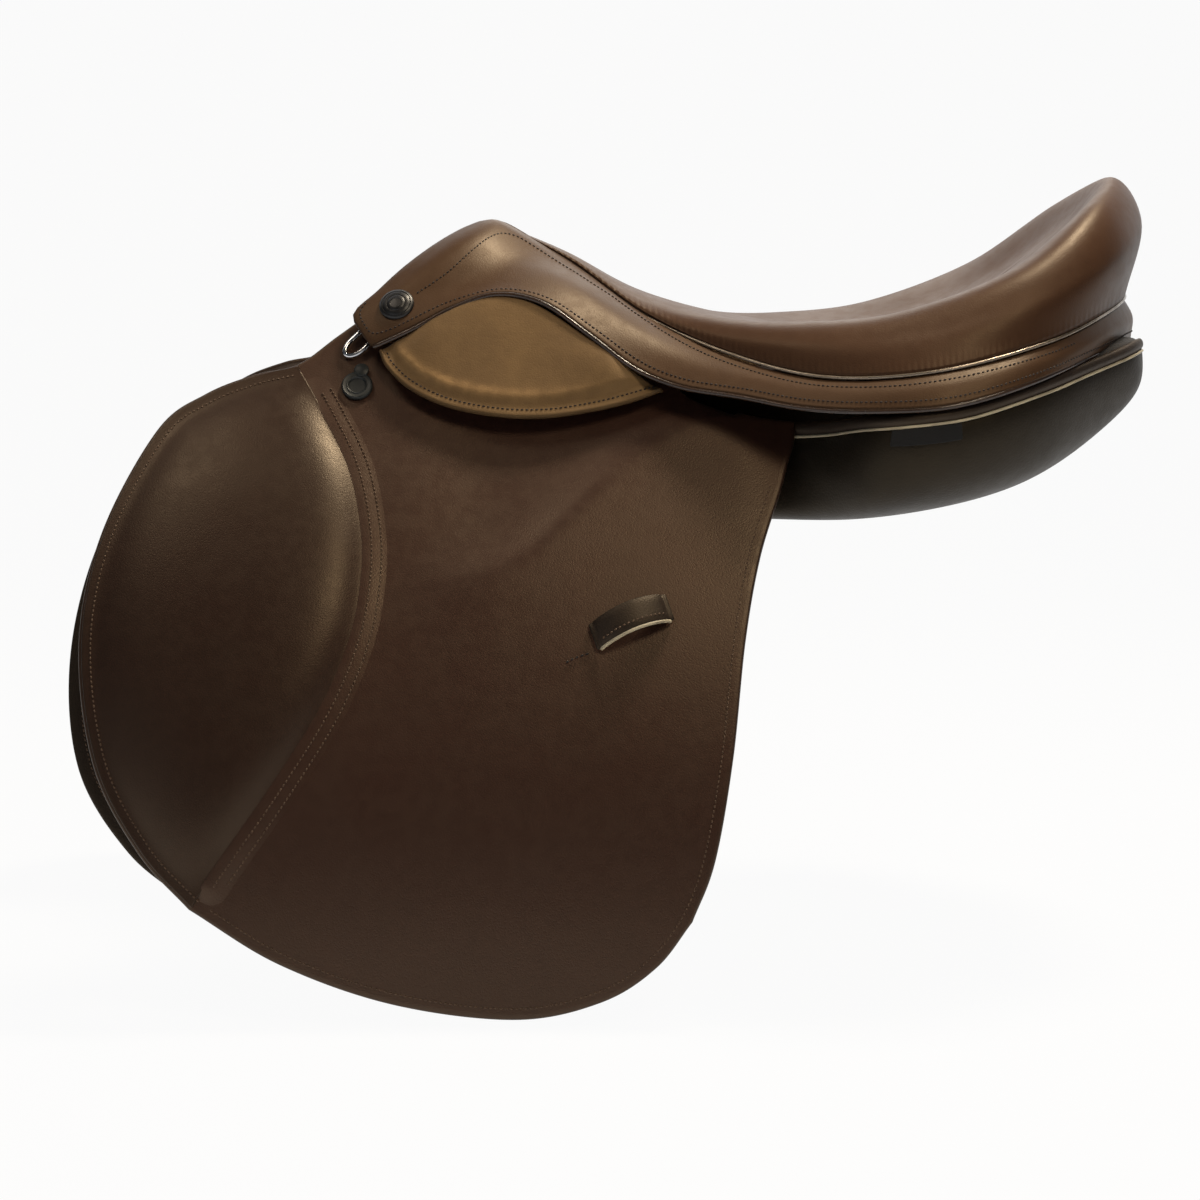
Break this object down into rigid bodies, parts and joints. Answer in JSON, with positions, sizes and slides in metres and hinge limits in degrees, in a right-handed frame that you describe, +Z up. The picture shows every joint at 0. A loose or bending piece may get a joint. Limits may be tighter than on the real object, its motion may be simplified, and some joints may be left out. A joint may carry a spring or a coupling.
{
  "type": "saddle",
  "caption": "Close contact riding saddle with a dished seat, padded panels, knee pads, lifting flaps and jockeys, and stirrup bars on a spring tree.",
  "frame": {"origin": "on the centre plane, under the waist of the seat, at the height on which the panels bear", "axes": "+X to the cantle, -X to the pommel, +Z up, the near (left) side at -Y"},
  "size_m": [0.6058, 0.4414, 0.4463],
  "materials": {
    "chrome": "polished",
    "flap_leather": "satin, dark brown",
    "foam": "matt, soft foam",
    "pad_leather": "satin, dark brown",
    "panel_leather": "satin, near black",
    "piping": "satin, cream",
    "rubber": "satin, black",
    "seat_leather": "satin, brown",
    "skirt_leather": "satin, brown",
    "steel": "brushed",
    "strap_leather": "satin, dark brown",
    "under_leather": "satin, near black",
    "webbing": "matt, woven",
    "welt": "satin, pale",
    "wood": "satin, laminated"
  },
  "bodies": {
    "saddle": {"catch_pin_near": "steel", "catch_pin_off": "steel", "flap_top_near": "flap_leather", "flap_top_off": "flap_leather", "front_tag": "rubber", "girth_web_near": "webbing", "girth_web_off": "webbing", "gullet_plate": "steel", "knee_block_near": "under_leather", "knee_block_off": "under_leather", "panel_facing_near": "strap_leather", "panel_facing_off": "strap_leather", "panel_near": "panel_leather", "panel_off": "panel_leather", "panel_piping_near": "piping", "panel_piping_off": "piping", "rear_tab": "rubber", "ring_staple_near": "steel", "ring_staple_off": "steel", "seat_cover": "seat_leather", "seat_foam": "foam", "seat_web_cross": "webbing", "seat_web_long": "webbing", "seat_welt": "welt", "skirt_button_near": "rubber", "skirt_button_off": "rubber", "skirt_near": "skirt_leather", "skirt_off": "skirt_leather", "skirt_piping": "piping", "stirrup_bar_near": "steel", "stirrup_bar_off": "steel", "sweat_flap_near": "under_leather", "sweat_flap_off": "under_leather", "tree_cantle": "wood", "tree_head": "wood", "tree_rail_near": "wood", "tree_rail_off": "wood"},
    "near_flap": {"flap_near": "flap_leather", "knee_pad_near": "pad_leather", "keeper_near": "under_leather", "keeper_piping_near": "piping"},
    "near_jockey": {"jockey_near": "skirt_leather"},
    "near_bar_catch": {"bar_catch_near": "steel"},
    "near_front_ring": {"front_ring_near": "chrome"},
    "near_girth_strap_1": {"girth_strap_1_near": "strap_leather"},
    "near_girth_strap_2": {"girth_strap_2_near": "strap_leather"},
    "near_girth_strap_3": {"girth_strap_3_near": "strap_leather"},
    "off_flap": {"flap_off": "flap_leather", "knee_pad_off": "pad_leather", "keeper_off": "under_leather", "keeper_piping_off": "piping"},
    "off_jockey": {"jockey_off": "skirt_leather"},
    "off_bar_catch": {"bar_catch_off": "steel"},
    "off_front_ring": {"front_ring_off": "chrome"},
    "off_girth_strap_1": {"girth_strap_1_off": "strap_leather"},
    "off_girth_strap_2": {"girth_strap_2_off": "strap_leather"},
    "off_girth_strap_3": {"girth_strap_3_off": "strap_leather"}
  },
  "joints": [
    {"name": "near_flap_lift", "type": "hinge", "parent": "saddle", "child": "near_flap", "pos_m": [-0.05425, -0.10075, 0.04347], "axis": [-0.9768, 0.1226, 0.1758], "range_deg": [0, 90]},
    {"name": "near_jockey_lift", "type": "hinge", "parent": "saddle", "child": "near_jockey", "pos_m": [-0.058, -0.07357, 0.11619], "axis": [-1, 0, 0], "range_deg": [0, 60]},
    {"name": "near_bar_catch_turn", "type": "hinge", "parent": "saddle", "child": "near_bar_catch", "pos_m": [-0.043, -0.07831, 0.0836], "axis": [0, -0.8407, 0.5414], "range_deg": [0, 80]},
    {"name": "near_front_ring_swing", "type": "hinge", "parent": "saddle", "child": "near_front_ring", "pos_m": [-0.12925, -0.06768, 0.09814], "axis": [-0.7158, 0.3344, 0.613], "range_deg": [0, 45]},
    {"name": "near_girth_strap_1_swing", "type": "hinge", "parent": "saddle", "child": "near_girth_strap_1", "pos_m": [-0.05, -0.10092, 0.02395], "axis": [0, 1, 0], "range_deg": [-5, 5]},
    {"name": "near_girth_strap_2_swing", "type": "hinge", "parent": "saddle", "child": "near_girth_strap_2", "pos_m": [-0.005, -0.10092, 0.02395], "axis": [0, 1, 0], "range_deg": [-5, 5]},
    {"name": "near_girth_strap_3_swing", "type": "hinge", "parent": "saddle", "child": "near_girth_strap_3", "pos_m": [0.04, -0.10092, 0.02395], "axis": [0, 1, 0], "range_deg": [-5, 5]},
    {"name": "off_flap_lift", "type": "hinge", "parent": "saddle", "child": "off_flap", "pos_m": [-0.05425, 0.10075, 0.04347], "axis": [0.9768, 0.1226, -0.1758], "range_deg": [0, 90]},
    {"name": "off_jockey_lift", "type": "hinge", "parent": "saddle", "child": "off_jockey", "pos_m": [-0.058, 0.07357, 0.11619], "axis": [1, 0, 0], "range_deg": [0, 60]},
    {"name": "off_bar_catch_turn", "type": "hinge", "parent": "saddle", "child": "off_bar_catch", "pos_m": [-0.043, 0.07831, 0.0836], "axis": [0, -0.8407, -0.5414], "range_deg": [0, 80]},
    {"name": "off_front_ring_swing", "type": "hinge", "parent": "saddle", "child": "off_front_ring", "pos_m": [-0.12925, 0.06768, 0.09814], "axis": [0.7158, 0.3344, -0.613], "range_deg": [0, 45]},
    {"name": "off_girth_strap_1_swing", "type": "hinge", "parent": "saddle", "child": "off_girth_strap_1", "pos_m": [-0.05, 0.10092, 0.02395], "axis": [0, 1, 0], "range_deg": [-5, 5]},
    {"name": "off_girth_strap_2_swing", "type": "hinge", "parent": "saddle", "child": "off_girth_strap_2", "pos_m": [-0.005, 0.10092, 0.02395], "axis": [0, 1, 0], "range_deg": [-5, 5]},
    {"name": "off_girth_strap_3_swing", "type": "hinge", "parent": "saddle", "child": "off_girth_strap_3", "pos_m": [0.04, 0.10092, 0.02395], "axis": [0, 1, 0], "range_deg": [-5, 5]}
  ],
  "couplings": [
    {"joint": "near_girth_strap_1_swing", "follows": "near_girth_strap_2_swing", "ratio": 1},
    {"joint": "near_girth_strap_3_swing", "follows": "near_girth_strap_2_swing", "ratio": 1},
    {"joint": "off_girth_strap_1_swing", "follows": "off_girth_strap_2_swing", "ratio": 1},
    {"joint": "off_girth_strap_3_swing", "follows": "off_girth_strap_2_swing", "ratio": 1}
  ]
}
